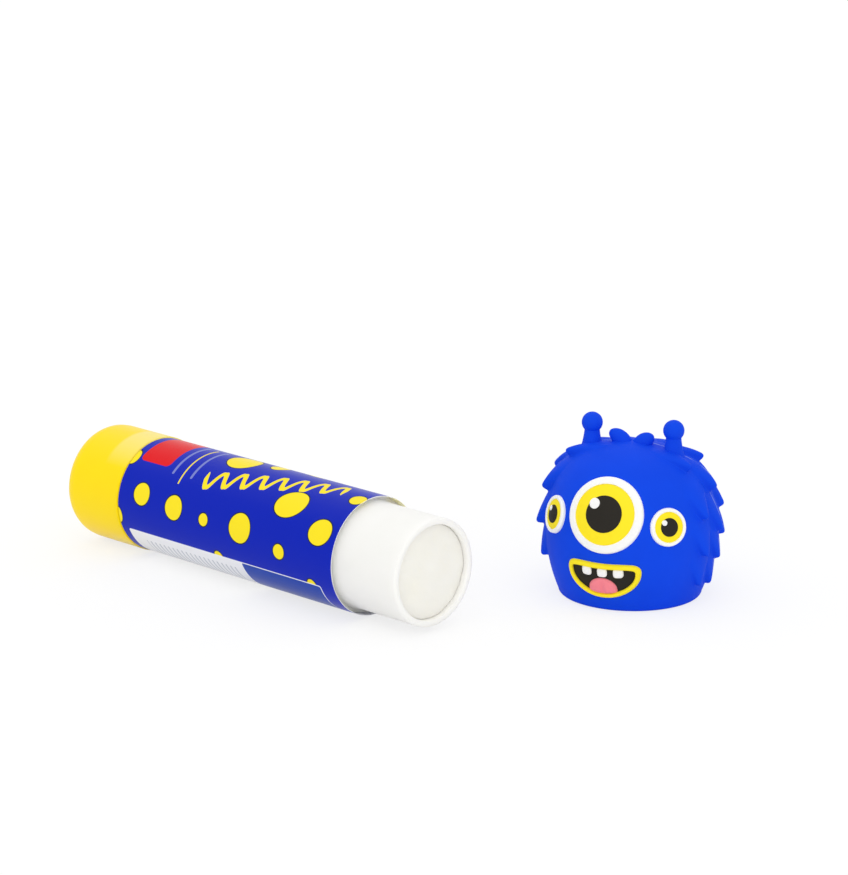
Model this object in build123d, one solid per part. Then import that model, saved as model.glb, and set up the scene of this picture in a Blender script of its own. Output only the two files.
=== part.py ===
from build123d import *
import math
import os

# Twist-up glue stick with a monster-head cap. The stick lies along +X with its neck towards +X,
# and the cap is off and stands beside it. Millimetres, +Z up, resting on z = 0.

# ---- stick: barrel and printed sleeve
label_radius = 11.0
label_length = 58.5
label_film = 0.15
label_overhang = 1.4  # the sleeve runs past the barrel's shoulder
body_wall = 1.1
neck_radius = 9.9
neck_length = 15.0  # from the sleeve's edge to the rim
neck_wall = 1.2
neck_root_rise = 0.3  # cone at the foot of the neck
neck_root_length = 1.5
rim_round = 0.5
floor_thickness = 1.5

# ---- twist knob
knob_radius = 11.2
knob_length = 16.0
knob_wall = 1.3
knob_end_round = 3.0
knob_gap = 0.2  # between the knob's mouth and the sleeve
spigot_length = 6.0
spigot_wall = 1.2
spigot_clearance = 0.15
hub_radius = 5.5
hub_clearance = 0.15

# ---- screw rod
thread_core_radius = 2.3
thread_crest_radius = 3.3
thread_rib_width = 2.2
thread_lead = 8.0  # advance in one turn, left-handed
thread_clearance = 0.15
journal_radius = 3.6
journal_clearance = 0.08
collar_radius = 5.2
collar_thickness = 1.2
collar_clearance = 0.1
rod_end_recess = 6.0  # rod's end below the neck's rim
drive_tail_radius = 3.0
drive_tail_length = 7.0

# ---- carrier and glue
carrier_clearance = 0.15
carrier_height = 11.0
carrier_wall = 0.9
carrier_floor = 1.5
nut_radius = 4.6
nut_length = 5.0
lug_count = 4
lug_width = 2.0
lug_reach = 0.35  # past the carrier's skirt
lug_height = 4.0
lug_clearance = 0.12
guide_rib_width = 0.8
turns_to_extend = 7
glue_clearance = 0.3
glue_recess = 1.1  # glue's face below the neck's rim
glue_channel_clearance = 0.3

# ---- cap: liner and head
cap_clearance = 0.12
liner_wall = 1.1
liner_end_wall = 1.2
socket_spare = 0.5  # socket depth beyond the neck's length
head_radius = 15.8
head_height = 28.8
head_base_radius = 13.0
head_base_round = 0.8
head_place = (23.4, 43.5)  # from the sleeve's neck-side edge, along and across the stick
head_yaw = 21.2  # turn of the face from -Y towards +X
face_azimuth = -90  # before the head is turned

# ---- cap: fur tufts and antennae
tuft_levels = (5.5, 11.0, 16.5, 21.5)
tuft_azimuths = (-12, 16, 46, 76, 106, 136, 164, 188)  # from +X over the back to -X
tuft_stagger = 5
tuft_root_radius = 2.3
tuft_tip_radius = 0.25
tuft_length = 2.8
tuft_sink = 1.8
tuft_droop = 42
crown_tuft_places = (-3.4, 3.4)
crown_tuft_length = 2.8
crown_tuft_lean = 18
antenna_spread = 7.9  # each ball from the head's middle
antenna_foot_radius = 2.1
antenna_neck_radius = 1.4
antenna_height = 4.8  # head's skin to the ball's centre
antenna_ball_radius = 1.95

# ---- cap: face inlays, each set in a pocket in the head
inlay_proud = 0.7
inlay_sink = 2.5
eye_height = 18.6
eye_radii = (7.0, 5.6, 3.4, 1.0)  # white, iris, pupil, glint
glint_offset = 0.33  # of the pupil's radius, to the upper left
side_eye_turn = 45
side_eye_height = 16.4
side_eye_share = 0.5
mouth_height = 6.2
mouth_half_width = 6.0
mouth_depth = 5.0
mouth_corner_round = 0.9
lip_width = 0.9
tooth_places = (-3.0, 0.0, 3.0)
tooth_size = (1.9, 1.5)
tooth_round = 0.3
tongue_size = (2.7, 2.2)
tongue_rise = 0.9  # its middle above the mouth's lowest point

# ---- stations along the stick, from the knob's closed end
sleeve_start = knob_length + knob_gap
sleeve_end = sleeve_start + label_length
shoulder = sleeve_end - label_overhang
rim = sleeve_end + neck_length
barrel_radius = label_radius - label_film
body_bore = barrel_radius - body_wall
neck_bore = neck_radius - neck_wall
barrel_floor_top = sleeve_start + floor_thickness
inner_shoulder = shoulder - neck_wall
collar_bottom = barrel_floor_top + collar_clearance
collar_top = collar_bottom + collar_thickness
carrier_bottom = collar_top + collar_clearance
carrier_top = carrier_bottom + carrier_height
glue_seat = carrier_bottom + carrier_floor
glue_face = rim - glue_recess
rod_end = rim - rod_end_recess
hub_top = sleeve_start - hub_clearance
travel = turns_to_extend * thread_lead
carrier_radius = neck_bore - carrier_clearance
lug_radius = carrier_radius + lug_reach
lug_top_at_end = carrier_bottom + travel + lug_height
glue_radius = neck_bore - glue_clearance

# ---- cap's own values
socket_radius = neck_radius + cap_clearance
socket_depth = neck_length + socket_spare
liner_radius = socket_radius + liner_wall
liner_height = socket_depth + liner_end_wall
equator = head_height - head_radius
waist = head_radius - head_base_radius
side_arc = (equator ** 2 + waist ** 2) / (2 * waist)
base_turn = math.degrees(math.asin(equator / side_arc))


def rod_of(radius, bottom, top):
    """A plain cylinder about Z between two heights."""
    base = (Align.CENTER, Align.CENTER, Align.MIN)
    return Pos(0, 0, bottom) * Cylinder(radius, top - bottom, align=base)


def tube_of(outer, inner, bottom, top):
    """A tube about Z between two heights."""
    return rod_of(outer, bottom, top) - rod_of(inner, bottom, top)


def turned(points):
    """A solid of revolution about Z from a closed outline of (radius, height) points."""
    return revolve(Plane.XZ * make_face(Polyline(*points, close=True)), Axis.Z)


def two_start_thread(gap, bottom, top):
    """The twisted bar of the screw, grown by a gap. Its phase is tied to height 0, so rod and nut mesh."""
    crest = thread_crest_radius + gap
    blade = Rectangle(2 * crest, thread_rib_width + 2 * gap) & Circle(crest)
    section = (Circle(thread_core_radius + gap) + blade).faces()[0]
    turn = -360 * (top - bottom) / thread_lead
    bar = Solid.extrude_linear_with_rotation(section, (0, 0, 0), (0, 0, top - bottom), turn)
    return Pos(0, 0, bottom) * Rot(0, 0, -360 * bottom / thread_lead) * bar


def guide_angles():
    """The carrier's lugs, evenly spaced about the stick."""
    return [360 / lug_count * i for i in range(lug_count)]


def barrel():
    """The white tube: floor, body with guide ribs, shoulder, neck and rim."""
    spigot_radius = knob_radius - knob_wall - spigot_clearance
    spigot_start = sleeve_start - spigot_length
    outline = [
        (spigot_radius - spigot_wall, spigot_start),
        (spigot_radius, spigot_start),
        (spigot_radius, sleeve_start),
        (barrel_radius, sleeve_start),
        (barrel_radius, shoulder),
        (neck_radius + neck_root_rise, shoulder),
        (neck_radius, shoulder + neck_root_length),
        (neck_radius, rim),
        (neck_bore, rim),
        (neck_bore, inner_shoulder),
        (body_bore, inner_shoulder),
        (body_bore, barrel_floor_top),
        (journal_radius + journal_clearance, barrel_floor_top),
        (journal_radius + journal_clearance, sleeve_start),
        (spigot_radius - spigot_wall, sleeve_start),
    ]
    tube = turned(outline)
    rim_edges = tube.edges().filter_by_position(Axis.Z, rim, rim)
    tube = fillet(rim_edges, min(rim_round, neck_wall * 0.42))
    groove_radius = lug_radius + lug_clearance
    groove_half = lug_width / 2 + lug_clearance
    rib_top = inner_shoulder
    ring = tube_of(body_bore + body_wall / 2, neck_bore, barrel_floor_top, rib_top)
    slot_top = lug_top_at_end + lug_clearance
    for angle in guide_angles():
        for side in (-1, 1):
            rib_y = side * (groove_half + guide_rib_width / 2)
            bar = Pos(body_bore, rib_y, barrel_floor_top) * Box(
                2 * (body_bore - neck_bore) + body_wall, guide_rib_width, rib_top - barrel_floor_top,
                align=(Align.CENTER, Align.CENTER, Align.MIN))
            tube += Rot(0, 0, angle) * (bar & ring)
        slot = tube_of(groove_radius, neck_bore / 2, inner_shoulder, slot_top)
        slot &= Pos(neck_bore, 0, inner_shoulder) * Box(
            neck_bore, 2 * groove_half, slot_top - inner_shoulder,
            align=(Align.CENTER, Align.CENTER, Align.MIN))
        tube -= Rot(0, 0, angle) * slot
    return tube


def label():
    """The printed film sleeve round the barrel."""
    return tube_of(label_radius, barrel_radius, sleeve_start, sleeve_end)


def drive_tail(gap):
    """The six-sided tail that turns the rod with the knob."""
    profile = RegularPolygon(drive_tail_radius + gap, 6)
    tail_bottom = hub_top - drive_tail_length
    return Pos(0, 0, tail_bottom) * extrude(profile, drive_tail_length)


def twist_knob():
    """The yellow cup with a rounded closed end and a hub for the rod's tail."""
    cup = rod_of(knob_radius, 0, knob_length)
    cup = fillet(cup.edges().filter_by_position(Axis.Z, 0, 0), knob_end_round)
    hollow = rod_of(knob_radius - knob_wall, knob_wall, knob_length)
    hollow = fillet(
        hollow.edges().filter_by_position(Axis.Z, knob_wall, knob_wall),
        knob_end_round - knob_wall / 2)
    hub = rod_of(hub_radius, knob_wall / 2, hub_top)
    return cup - hollow + hub - drive_tail(0)


def screw_rod():
    """The spindle: drive tail, journal, snap collar and two-start thread."""
    journal = rod_of(journal_radius, hub_top, collar_bottom)
    collar = rod_of(collar_radius, collar_bottom, collar_top)
    thread = two_start_thread(0, collar_top, rod_end)
    return drive_tail(0) + journal + collar + thread


def carrier():
    """The cup that holds the glue, with its nut and the lugs that stop it turning."""
    cup = rod_of(carrier_radius, carrier_bottom, carrier_top)
    cup -= rod_of(carrier_radius - carrier_wall, glue_seat, carrier_top)
    nut_top = carrier_bottom + nut_length
    cup += rod_of(nut_radius, carrier_bottom, nut_top)
    for angle in guide_angles():
        lug = tube_of(lug_radius, carrier_radius - carrier_wall / 2,
                      carrier_bottom, carrier_bottom + lug_height)
        lug &= Pos(carrier_radius, 0, carrier_bottom) * Box(
            carrier_radius, lug_width, lug_height,
            align=(Align.CENTER, Align.CENTER, Align.MIN))
        cup += Rot(0, 0, angle) * lug
    return cup - two_start_thread(thread_clearance, carrier_bottom, nut_top)


def glue_stick():
    """The glue, cast into the cup and round the nut, with a channel for the rod."""
    channel = thread_crest_radius + glue_channel_clearance
    nut_top = carrier_bottom + nut_length
    cup_bore = carrier_radius - carrier_wall
    channel_top = rod_end + glue_channel_clearance
    return turned([
        (nut_radius, glue_seat),
        (cup_bore, glue_seat),
        (cup_bore, carrier_top),
        (glue_radius, carrier_top),
        (glue_radius, glue_face),
        (0, glue_face),
        (0, channel_top),
        (channel, channel_top),
        (channel, nut_top),
        (nut_radius, nut_top),
    ])


def skin_radius(height):
    """The head core's radius at a height: a hemisphere above the equator, a gentle arc below it."""
    rise = height - equator
    if rise > 0:
        return math.sqrt(head_radius ** 2 - rise ** 2)
    return head_radius - side_arc + math.sqrt(side_arc ** 2 - rise ** 2)


def skin_place(azimuth, height):
    """The location on the head core at an azimuth from +X, its Z along the outward normal."""
    rise = height - equator
    reach = head_radius if rise > 0 else side_arc
    tilt = math.degrees(math.asin(rise / reach))
    return (Rot(0, 0, azimuth) * Pos(skin_radius(height), 0, height) * Rot(0, 90 - tilt, 0)
            * Rot(0, 0, 90))


def head_core():
    """The round head about Z, cut flat at the base."""
    crown = Pos(0, 0, equator) * (Sphere(head_radius) & rod_of(2 * head_radius, 0, head_radius))
    side = CenterArc((head_radius - side_arc, equator), side_arc, 0, -base_turn)
    ends = Polyline((head_base_radius, 0), (0, 0), (0, equator), (head_radius, equator))
    skirt = revolve(Plane.XZ * make_face([side, ends]), Axis.Z)
    skirt = fillet(skirt.edges().group_by(Axis.Z)[0], head_base_round)
    return crown + skirt


def tuft(root_radius, length):
    """One pointed lock, its root sunk below the origin and its tip along +Z."""
    upright = (Align.CENTER, Align.CENTER, Align.MIN)
    return Pos(0, 0, -tuft_sink) * Cone(root_radius, tuft_tip_radius, length + tuft_sink, align=upright)


def head_shell(pockets):
    """The soft rubber head with its tufts, hollow where the liner sits and where the inlays do."""
    shell = head_core()
    for level, height in enumerate(tuft_levels):
        for azimuth in tuft_azimuths:
            swing = azimuth + tuft_stagger * (level % 2)
            droop = Rot(0, 90 + tuft_droop, 0)
            shell += Rot(0, 0, swing) * Pos(skin_radius(height), 0, height) * droop * tuft(
                tuft_root_radius, tuft_length)
    for across in crown_tuft_places:
        height = equator + math.sqrt(head_radius ** 2 - across ** 2)
        lean = Rot(0, math.copysign(crown_tuft_lean, across), 0)
        shell += Pos(across, 0, height) * lean * tuft(tuft_root_radius, crown_tuft_length)
    shell -= rod_of(liner_radius, -1, liner_height)
    for pocket in pockets:
        shell -= pocket
    return shell


def cap_liner():
    """The rigid socket inside the head that grips the neck."""
    return rod_of(liner_radius, 0, liner_height) - rod_of(socket_radius, 0, socket_depth)


def antenna(side, shell):
    """A ball on a flared stem, standing on the head."""
    skin = equator + math.sqrt(head_radius ** 2 - antenna_spread ** 2)
    ball_height = skin + antenna_height
    upright = (Align.CENTER, Align.CENTER, Align.MIN)
    foot = skin - tuft_sink
    stem = Pos(0, 0, foot) * Cone(
        antenna_foot_radius, antenna_neck_radius, ball_height - foot, align=upright)
    ball = Pos(0, 0, ball_height) * Sphere(antenna_ball_radius)
    whole = Pos(side * antenna_spread, 0, 0) * (stem + ball) - shell
    return whole.solids().sort_by(Axis.Z)[-1]


def dome_height(radius):
    """Height of an inlay's crowned front above the head's skin, at a distance from its axis."""
    dome = head_radius + inlay_proud
    return math.sqrt(dome ** 2 - radius ** 2) - head_radius


def crowned_ring(outer, inner):
    """A ring or disc about Z from the pocket's floor to the crowned front."""
    front = ThreePointArc(
        (inner, dome_height(inner)),
        ((inner + outer) / 2, dome_height((inner + outer) / 2)),
        (outer, dome_height(outer)))
    sides = Polyline((outer, dome_height(outer)), (outer, -inlay_sink), (inner, -inlay_sink),
                     (inner, dome_height(inner)))
    return revolve(Plane.XZ * make_face([front, sides]), Axis.Z)


def eye(name, azimuth, height, share):
    """One eye as nested inlays: white, iris, pupil and a glint, with the pocket that they fill."""
    place = skin_place(azimuth, height)
    white, iris, pupil, glint = (radius * share for radius in eye_radii)
    pupil_disc = crowned_ring(pupil, 0)
    spot = Pos(-pupil * glint_offset, pupil * glint_offset, 0) * Cylinder(glint, 4 * inlay_sink)
    pieces = {
        f"eye_white_{name}": place * crowned_ring(white, iris),
        f"eye_iris_{name}": place * crowned_ring(iris, pupil),
        f"eye_pupil_{name}": place * (pupil_disc - spot),
        f"eye_glint_{name}": place * (pupil_disc & spot),
    }
    return pieces, place * rod_of(white, -inlay_sink, head_radius)


def mouth():
    """The open smile: lip, dark lining, upper teeth and tongue, side by side in one pocket."""
    place = skin_place(face_azimuth, mouth_height)
    below = Rectangle(4 * mouth_half_width, 2 * mouth_depth, align=(Align.CENTER, Align.MAX))
    opening = Ellipse(mouth_half_width, mouth_depth) & below
    opening = fillet(opening.vertices(), mouth_corner_round)
    rim = Ellipse(mouth_half_width + lip_width, mouth_depth + lip_width) & below
    rim += Rectangle(2 * (mouth_half_width + lip_width), lip_width, align=(Align.CENTER, Align.MIN))
    rim = fillet(rim.vertices().group_by(Axis.Y)[-1], lip_width)
    teeth = Sketch()
    for across in tooth_places:
        crown = Rectangle(tooth_size[0], 2 * tooth_size[1])
        teeth += Pos(across, 0) * fillet(crown.vertices(), tooth_size[0] * tooth_round)
    teeth &= opening
    tongue = Pos(0, tongue_rise - mouth_depth) * Ellipse(*tongue_size) & opening
    front = Pos(0, 0, -head_radius) * Rot(90, 0, 0) * Sphere(head_radius + inlay_proud)
    up = Pos(0, mouth_depth / 2, 0)

    def plug(outline):
        return place * up * (Pos(0, 0, -inlay_sink) * extrude(outline, 3 * inlay_sink) & front)

    pieces = {
        "mouth_lip": plug(rim - opening),
        "mouth_lining": plug(opening - teeth - tongue),
        "teeth": plug(teeth),
        "tongue": plug(tongue),
    }
    return pieces, place * up * Pos(0, 0, -inlay_sink) * extrude(rim, head_radius)


def stick_nodes():
    """Every piece of the stick, upright about Z with the knob's closed end at 0."""
    return {
        "barrel": barrel(),
        "label": label(),
        "twist_knob": twist_knob(),
        "screw_rod": screw_rod(),
        "carrier": carrier(),
        "glue_stick": glue_stick(),
    }


def cap_nodes():
    """Every piece of the cap, upright about Z with its base at 0 and its face towards -Y."""
    face, pockets = {}, []
    eyes = [("centre", 0, eye_height, 1)]
    eyes += [("left", -side_eye_turn, side_eye_height, side_eye_share)]
    eyes += [("right", side_eye_turn, side_eye_height, side_eye_share)]
    for name, turn, height, share in eyes:
        pieces, pocket = eye(name, face_azimuth + turn, height, share)
        face |= pieces
        pockets.append(pocket)
    pieces, pocket = mouth()
    face |= pieces
    pockets.append(pocket)
    shell = head_shell(pockets)
    nodes = {
        "cap_liner": cap_liner(),
        "head_shell": shell,
        "antenna_left": antenna(-1, shell),
        "antenna_right": antenna(1, shell),
    }
    return nodes | face


def placed():
    """All nodes where they stand: the origin is under the middle of the whole box."""
    lying = Pos(-sleeve_end, 0, max(knob_radius, label_radius)) * Rot(0, 90, 0)
    standing = Pos(*head_place, 0) * Rot(0, 0, head_yaw)
    nodes = {name: lying * solid for name, solid in stick_nodes().items()}
    nodes |= {name: standing * solid for name, solid in cap_nodes().items()}
    box = Compound(children=[Compound(node.solids()) for node in nodes.values()]).bounding_box()
    middle = Pos(-box.center().X, -box.center().Y, 0)
    return {name: middle * solid for name, solid in nodes.items()}, middle


nodes, middle = placed()
os.makedirs("parts", exist_ok=True)
for name, solid in nodes.items():
    solid.label = name
    export_step(solid, f"parts/{name}.step")
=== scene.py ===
"""Looks of a twist-up glue stick and its soft rubber monster-head cap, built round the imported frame.

Everything is in metres and in the frame's own axes: the stick lies along +X with its neck towards +X,
and the cap is off and stands beside it on the +Y side.
"""

import logging
import math
from dataclasses import dataclass
from enum import Enum
from typing import Callable, Sequence

import bmesh
import bpy
import numpy as np
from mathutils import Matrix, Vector


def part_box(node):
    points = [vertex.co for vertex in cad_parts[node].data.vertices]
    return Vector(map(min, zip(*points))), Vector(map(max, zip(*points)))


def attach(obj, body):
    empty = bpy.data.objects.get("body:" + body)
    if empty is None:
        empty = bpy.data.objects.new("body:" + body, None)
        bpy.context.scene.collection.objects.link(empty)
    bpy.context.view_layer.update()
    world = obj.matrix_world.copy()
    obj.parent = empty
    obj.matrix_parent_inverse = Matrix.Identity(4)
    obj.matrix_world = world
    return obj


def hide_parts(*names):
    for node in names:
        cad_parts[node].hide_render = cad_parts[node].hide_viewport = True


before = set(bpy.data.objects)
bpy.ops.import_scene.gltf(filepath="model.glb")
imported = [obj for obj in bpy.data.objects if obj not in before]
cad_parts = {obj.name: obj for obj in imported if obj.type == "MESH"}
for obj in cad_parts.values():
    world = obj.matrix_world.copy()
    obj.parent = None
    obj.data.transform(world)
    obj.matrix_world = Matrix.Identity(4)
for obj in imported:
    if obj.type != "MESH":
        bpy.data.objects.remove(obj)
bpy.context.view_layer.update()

LOG = logging.getLogger("glue_stick")
MM = 0.001

Grid = tuple[np.ndarray, np.ndarray]  # a piece's places, and its faces' corner numbers
Overlay = Callable[[bpy.types.NodeTree, bpy.types.NodeSocket], bpy.types.NodeSocket]
Block = tuple[tuple[float, float], tuple[float, float], float]  # lower corner, upper corner, corner radius


# ---------------------------------------------------------------- colour and shader nodes


def linear(colour: str) -> tuple[float, float, float, float]:
    """Turns an sRGB hex colour into the linear numbers that a shader takes.

    The curve is a straight line below its knee and a power above it.

    Args:
        colour: six hex digits, such as "F4F4F0".

    Returns:
        Linear red, green and blue, then full alpha.
    """
    parts = [int(colour[i : i + 2], 16) / 255 for i in (0, 2, 4)]
    knee, slope, offset, power = 0.04045, 12.92, 0.055, 2.4
    red, green, blue = (c / slope if c <= knee else ((c + offset) / (1 + offset)) ** power for c in parts)
    return red, green, blue, 1.0


def add(tree: bpy.types.NodeTree, kind: str, inputs: dict | None = None, **settings) -> bpy.types.Node:
    """Adds a node with its settings, its values and its links.

    Args:
        tree: the node tree that takes the node.
        kind: the node's type name.
        inputs: for each input's name or number, a value or the socket that feeds it.
        **settings: the node's own properties.

    Returns:
        The new node.
    """
    node = tree.nodes.new(kind)
    for key, value in settings.items():
        setattr(node, key, value)
    for key, value in (inputs or {}).items():
        if isinstance(value, bpy.types.NodeSocket):
            tree.links.new(value, node.inputs[key])
        else:
            node.inputs[key].default_value = value
    return node


def new_tree(name: str) -> tuple[bpy.types.Material, bpy.types.NodeTree, bpy.types.Node]:
    """Makes a material with an empty tree.

    Args:
        name: the material's name.

    Returns:
        The material, its tree and its output node.
    """
    material = bpy.data.materials.new(name)
    material.use_nodes = True
    tree = material.node_tree
    tree.nodes.clear()
    return material, tree, tree.nodes.new("ShaderNodeOutputMaterial")


@dataclass(frozen=True)
class Finish:
    """A moulded or cast material with a fine grain and a slight drift of colour.

    Attributes:
        name: the material's name, after the real material and how it was made.
        colour: its sRGB colour.
        drift: the colour that it drifts towards in soft patches.
        roughness: the surface's roughness.
        ior: its index of refraction.
        scatter: how much light enters the surface and scatters.
        scatter_mm: how far that light goes.
        specular: the strength of its plain reflection, where 0.5 is a clean polished plastic.
        grain_mm: spacing of the surface's grain.
        grain_depth_mm: depth of that grain.
        patch_mm: size of the colour's patches.
    """

    name: str
    colour: str
    drift: str
    roughness: float = 0.4
    ior: float = 1.5
    scatter: float = 0.0
    scatter_mm: float = 1.0
    specular: float = 0.3
    grain_mm: float = 0.3
    grain_depth_mm: float = 0.01
    patch_mm: float = 6.0

    def material(self, overlay: Overlay | None = None) -> bpy.types.Material:
        """Builds the material: noise patches between two colours, and a noise bump for the grain.

        Args:
            overlay: adds marks over the colour, from the tree and the colour's socket.

        Returns:
            The new material.
        """
        material, tree, out = new_tree(self.name + (f"_{overlay.__name__}" if overlay else ""))
        place = add(tree, "ShaderNodeTexCoord").outputs["Object"]
        patches = add(tree, "ShaderNodeTexNoise",
                      {"Vector": place, "Scale": 1 / (self.patch_mm * MM), "Detail": 2.0})
        colour = add(tree, "ShaderNodeMix",
                     {0: patches.outputs["Fac"], 6: linear(self.colour), 7: linear(self.drift)},
                     data_type="RGBA").outputs[2]
        if overlay:
            colour = overlay(tree, colour)
        grain = add(tree, "ShaderNodeTexNoise",
                    {"Vector": place, "Scale": 1 / (self.grain_mm * MM), "Detail": 3.0})
        bump = add(tree, "ShaderNodeBump",
                   {"Height": grain.outputs["Fac"], "Distance": self.grain_depth_mm * MM, "Strength": 1.0})
        shader = add(tree, "ShaderNodeBsdfPrincipled", {
            "Base Color": colour, "Roughness": self.roughness, "IOR": self.ior,
            "Subsurface Weight": self.scatter, "Subsurface Scale": self.scatter_mm * MM,
            "Subsurface Radius": (1.0, 1.0, 1.0), "Specular IOR Level": self.specular,
            "Normal": bump.outputs["Normal"]})
        tree.links.new(shader.outputs["BSDF"], out.inputs["Surface"])
        return material


class Moulded(Enum):
    """The plain finishes, one for each moulded or cast material."""

    # Injection-moulded polypropylene: satin, slightly milky, so edges glow softly.
    WHITE_PP = Finish("polypropylene_white_moulded", "FAF9F5", "F7F6F0", 0.38, 1.49, 0.4, 1.8,
                      specular=0.2)
    # The same plastic, pigmented: a clear even yellow with broad soft highlights.
    YELLOW_PP = Finish("polypropylene_yellow_moulded", "FFE100", "FFDC00", 0.34, 1.49,
                       specular=0.15, grain_depth_mm=0.006)
    # Cast stearate glue: waxy, cream-white, with faint drag marks.
    GLUE = Finish("glue_solid_cast", "FBF9F2", "F8F4E8", 0.5, 1.45, 0.5, 2.0, specular=0.2,
                  grain_mm=0.8, grain_depth_mm=0.05)
    # Soft PVC rubber in moulds: matt with a fine tooth, so its reflection is faint and very broad.
    BLUE_RUBBER = Finish("rubber_blue_moulded", "0B4AEA", "0A44DE", 0.62, 1.5, specular=0.08,
                         grain_mm=0.25, grain_depth_mm=0.012)
    YELLOW_RUBBER = Finish("rubber_yellow_moulded", "FFEC2E", "FFE522", 0.55, 1.5, specular=0.1,
                           grain_mm=0.25, grain_depth_mm=0.008)
    WHITE_RUBBER = Finish("rubber_white_moulded", "FCFCFA", "F9F9F6", 0.5, 1.5, 0.25, 0.8, specular=0.15,
                          grain_mm=0.25, grain_depth_mm=0.008)
    BLACK_RUBBER = Finish("rubber_black_moulded", "2D2A25", "27241F", 0.55, 1.5, specular=0.1,
                          grain_mm=0.25, grain_depth_mm=0.008)
    PINK_RUBBER = Finish("rubber_pink_moulded", "FA8C97", "F6828F", 0.5, 1.5, 0.1, 0.8, specular=0.15,
                         grain_mm=0.25, grain_depth_mm=0.008)


class Palette:
    """Makes each finish's material once and hands it out."""

    def __init__(self) -> None:
        """Starts with no material made."""
        self._made: dict[str, bpy.types.Material] = {}

    def of(self, finish: Moulded) -> bpy.types.Material:
        """Finds or makes a finish's material.

        Args:
            finish: the finish.

        Returns:
            Its material.
        """
        if finish.name not in self._made:
            self._made[finish.name] = finish.value.material()
        return self._made[finish.name]


# ---------------------------------------------------------------- meshes from grids


def grid_faces(rows: int, columns: int, loop_rows: bool, loop_columns: bool) -> np.ndarray:
    """Joins neighbouring points of a grid into quads, row by row.

    Args:
        rows: how many rows the grid has.
        columns: how many points each row has.
        loop_rows: whether the last row joins the first.
        loop_columns: whether each row's last point joins its first.

    Returns:
        Corner numbers, one quad per row.
    """
    down = np.arange(rows if loop_rows else rows - 1)
    along = np.arange(columns if loop_columns else columns - 1)
    row, column = np.meshgrid(down, along, indexing="ij")
    next_row, next_column = (row + 1) % rows, (column + 1) % columns
    corners = [row * columns + column, row * columns + next_column,
               next_row * columns + next_column, next_row * columns + column]
    return np.stack(corners, axis=-1).reshape(-1, 4)


def mesh_object(name: str, points: np.ndarray, faces: np.ndarray, crease: float = 40.0) -> bpy.types.Object:
    """Makes a closed piece: merges doubled points, turns its faces outwards and shades it smooth.

    Args:
        name: the piece's name.
        points: places in metres, one per row.
        faces: corner numbers, one quad per row.
        crease: edges sharper than this many degrees stay sharp.

    Returns:
        The new object, linked to the scene.
    """
    mesh = bpy.data.meshes.new(name)
    mesh.from_pydata(points.reshape(-1, 3).tolist(), [], faces.tolist())
    work = bmesh.new()
    work.from_mesh(mesh)
    bmesh.ops.remove_doubles(work, verts=work.verts, dist=1e-7)
    bmesh.ops.dissolve_degenerate(work, edges=work.edges, dist=1e-7)
    bmesh.ops.recalc_face_normals(work, faces=work.faces)
    work.to_mesh(mesh)
    work.free()
    mesh.shade_smooth()
    mesh.set_sharp_from_angle(angle=math.radians(crease))
    piece = bpy.data.objects.new(name, mesh)
    bpy.context.scene.collection.objects.link(piece)
    return piece


def arc(start: float, end: float, count: int) -> np.ndarray:
    """Evenly spaced angles in radians between two angles in degrees."""
    return np.radians(np.linspace(start, end, count))


@dataclass
class Part:
    """A finished piece and what it says about itself to the frame.

    Attributes:
        name: the piece's name.
        points: its places in metres.
        faces: corner numbers, one quad per row.
        body: the body that it moves with.
        slot: the name of its material slot; it is not used.
        nodes: the CAD nodes that it stands for.
        material: its material.
        crease: edges sharper than this many degrees stay sharp.
    """

    name: str
    points: np.ndarray
    faces: np.ndarray
    body: str
    slot: str
    nodes: tuple[str, ...]
    material: bpy.types.Material
    crease: float = 40.0

    def build(self) -> bpy.types.Object:
        """Makes the piece, dresses it, hangs it under its body's empty, and hides the CAD nodes it stands for.

        Returns:
            The new object.
        """
        piece = mesh_object(self.name, self.points, self.faces, self.crease)
        piece.data.materials.append(self.material)
        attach(piece, self.body)
        if self.nodes:
            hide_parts(*self.nodes)
        LOG.info("%s: %d faces", self.name, len(piece.data.polygons))
        return piece


# ---------------------------------------------------------------- outlines and surfaces of the stick


def soft_outline(corners: Sequence[tuple[float, float, float]], closed: bool = True) -> np.ndarray:
    """An outline with rounded corners, in millimetres.

    Each corner is cut back along both of its edges by its radius and bridged by a parabola through
    the cut points. A point just beyond each cut keeps the flat runs' shading flat. Neither goes past
    the middle of an edge.

    Args:
        corners: (along, out, radius) of each corner.
        closed: whether the last corner runs back to the first.

    Returns:
        The outline's points, one (along, out) per row.
    """
    steps, hold, most_cut, most_held = 6, 0.12, 0.48, 0.49
    places = np.array([corner[:2] for corner in corners])
    t = np.linspace(0, 1, steps)[:, None]
    runs = []
    for i, (place, (_, _, radius)) in enumerate(zip(places, corners)):
        ends = not closed and i in (0, len(corners) - 1)
        if ends or radius == 0:
            runs.append(place[None])
            continue
        before, after = places[i - 1] - place, places[(i + 1) % len(places)] - place
        reach = [min(radius, most_cut * np.hypot(*edge)) for edge in (before, after)]
        first, last = (place + edge / np.hypot(*edge) * cut for edge, cut in zip((before, after), reach))
        bend = (1 - t) ** 2 * first + 2 * t * (1 - t) * place + t ** 2 * last
        start, end = (place + edge / np.hypot(*edge) * min(cut + hold, most_held * np.hypot(*edge))
                      for edge, cut in zip((before, after), reach))
        runs.append(np.vstack([start[None], bend, end[None]]))
    return np.vstack(runs)


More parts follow.
